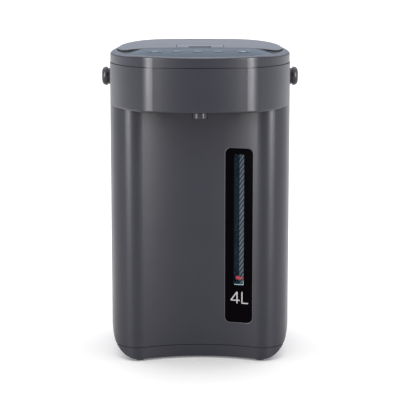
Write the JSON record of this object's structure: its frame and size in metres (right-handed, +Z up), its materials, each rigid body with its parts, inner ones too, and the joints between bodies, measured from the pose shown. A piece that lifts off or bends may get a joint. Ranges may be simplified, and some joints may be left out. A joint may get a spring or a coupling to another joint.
{
  "type": "electric thermo pot",
  "caption": "Free-standing electric hot water dispenser with an overhanging tap head, front level gauge, crowned hinged lid with release lever, and a folding bail handle.",
  "frame": {"origin": "centre of the footprint of the whole pot, on the resting surface", "axes": "+X to the viewer's right, the tap head faces -Y, +Z up"},
  "size_m": [0.2266, 0.2846, 0.3533],
  "materials": {
    "body_plastic": "satin",
    "rim_plastic": "satin",
    "lid_plastic": "satin",
    "handle_plastic": "satin",
    "dark_plastic": "matt",
    "dark_gloss": "gloss",
    "panel_gloss": "gloss",
    "lamp_lens": "gloss",
    "clear_lens": "clear",
    "clear_tube": "clear",
    "card_white": "satin",
    "black_rubber": "matt",
    "silicone": "satin",
    "pale_plastic": "satin",
    "zinc_steel": "brushed",
    "spring_steel": "brushed",
    "stainless": "brushed",
    "heater_aluminium": "cast",
    "circuit_board": "satin",
    "black_component": "satin",
    "magnet": "matt",
    "pin_brass": "plated",
    "lead_insulation": "satin"
  },
  "bodies": {
    "pot_body": {"outer_case": "body_plastic", "base_cover": "body_plastic", "shoulder_ring": "rim_plastic", "tap_plate": "dark_plastic", "nozzle": "dark_gloss", "panel_film": "panel_gloss", "indicator_lenses": "lamp_lens", "gauge_bezel": "dark_gloss", "gauge_lens": "clear_lens", "gauge_card": "card_white", "gauge_channel": "dark_plastic", "gauge_tube": "clear_tube", "rubber_feet": "black_rubber", "chassis": "pale_plastic", "case_screws": "zinc_steel", "control_board": "circuit_board", "power_board": "circuit_board", "board_parts": "black_component", "tact_switches": "black_component", "inner_pot": "stainless", "pot_support_ring": "pale_plastic", "heat_shield": "stainless", "pot_gasket": "silicone", "silicone_sleeves": "silicone", "lower_elbow": "silicone", "spout_tube": "silicone", "heater_plate": "heater_aluminium", "temperature_sensors": "zinc_steel", "pump_housing": "pale_plastic", "pump_motor": "zinc_steel", "tip_valve_housing": "pale_plastic", "inlet_socket": "dark_plastic", "inlet_pins": "pin_brass", "inlet_yoke": "zinc_steel", "mains_leads": "lead_insulation", "pivot_pins": "zinc_steel", "hinge_pin": "zinc_steel"},
    "lid": {"lid_cover": "lid_plastic", "lid_base": "dark_plastic", "lid_gasket": "silicone", "inner_lid": "stainless", "steam_duct": "pale_plastic", "steam_vent_cap": "dark_plastic", "lever_pin": "zinc_steel", "latch_spring": "spring_steel", "lid_screws": "zinc_steel"},
    "lever": {"lid_lever": "lid_plastic"},
    "latch": {"latch_claws": "dark_plastic"},
    "handle": {"handle_bail": "handle_plastic", "pivot_caps": "handle_plastic"},
    "dispense_key": {"key_dispense": "panel_gloss"},
    "keep_warm_key": {"key_keep_warm": "panel_gloss"},
    "reboil_key": {"key_reboil": "panel_gloss"},
    "timer_key": {"key_timer": "panel_gloss"},
    "unlock_key": {"key_unlock": "panel_gloss"},
    "impeller": {"pump_impeller": "pale_plastic"},
    "rotor": {"magnet_rotor": "magnet", "motor_shaft": "zinc_steel"},
    "tip_ball": {"tip_valve_ball": "stainless"},
    "steam_ball": {"steam_valve_ball": "stainless"}
  },
  "joints": [
    {"name": "lid_hinge", "type": "hinge", "parent": "pot_body", "child": "lid", "pos_m": [0, 0.118, 0.347], "axis": [-1, 0, 0], "range_deg": [0, 78]},
    {"name": "lever_hinge", "type": "hinge", "parent": "lid", "child": "lever", "pos_m": [0, -0.0405, 0.3464], "axis": [-1, 0, 0], "range_deg": [0, 20], "stiffness_Nm_per_rad": 0.05},
    {"name": "latch_hinge", "type": "hinge", "parent": "lid", "child": "latch", "pos_m": [0, -0.058, 0.3386], "axis": [1, 0, 0], "range_deg": [0, 31]},
    {"name": "handle_hinge", "type": "hinge", "parent": "pot_body", "child": "handle", "pos_m": [0, 0.0075, 0.315], "axis": [1, 0, 0], "range_deg": [0, 110]},
    {"name": "dispense_press", "type": "slide", "parent": "pot_body", "child": "dispense_key", "axis": [0, 0, -1], "range_m": [0, 0.0008], "stiffness_N_per_m": 400},
    {"name": "keep_warm_press", "type": "slide", "parent": "pot_body", "child": "keep_warm_key", "axis": [0, 0, -1], "range_m": [0, 0.0008], "stiffness_N_per_m": 400},
    {"name": "reboil_press", "type": "slide", "parent": "pot_body", "child": "reboil_key", "axis": [0, 0, -1], "range_m": [0, 0.0008], "stiffness_N_per_m": 400},
    {"name": "timer_press", "type": "slide", "parent": "pot_body", "child": "timer_key", "axis": [0, 0, -1], "range_m": [0, 0.0008], "stiffness_N_per_m": 400},
    {"name": "unlock_press", "type": "slide", "parent": "pot_body", "child": "unlock_key", "axis": [0, 0, -1], "range_m": [0, 0.0008], "stiffness_N_per_m": 400},
    {"name": "rotor_spin", "type": "hinge", "parent": "pot_body", "child": "rotor", "pos_m": [0.03, -0.0205, 0.034], "axis": [0, 0, 1], "continuous": true},
    {"name": "impeller_spin", "type": "hinge", "parent": "pot_body", "child": "impeller", "pos_m": [0.03, -0.0205, 0.042], "axis": [0, 0, 1], "continuous": true},
    {"name": "tip_ball_rise", "type": "slide", "parent": "pot_body", "child": "tip_ball", "axis": [0, 0, 1], "range_m": [0, 0.015]},
    {"name": "steam_ball_rise", "type": "slide", "parent": "lid", "child": "steam_ball", "axis": [0, 0, 1], "range_m": [0, 0.006]}
  ],
  "couplings": [
    {"joint": "latch_hinge", "follows": "lever_hinge", "ratio": 1.4},
    {"joint": "impeller_spin", "follows": "rotor_spin", "ratio": 1}
  ]
}
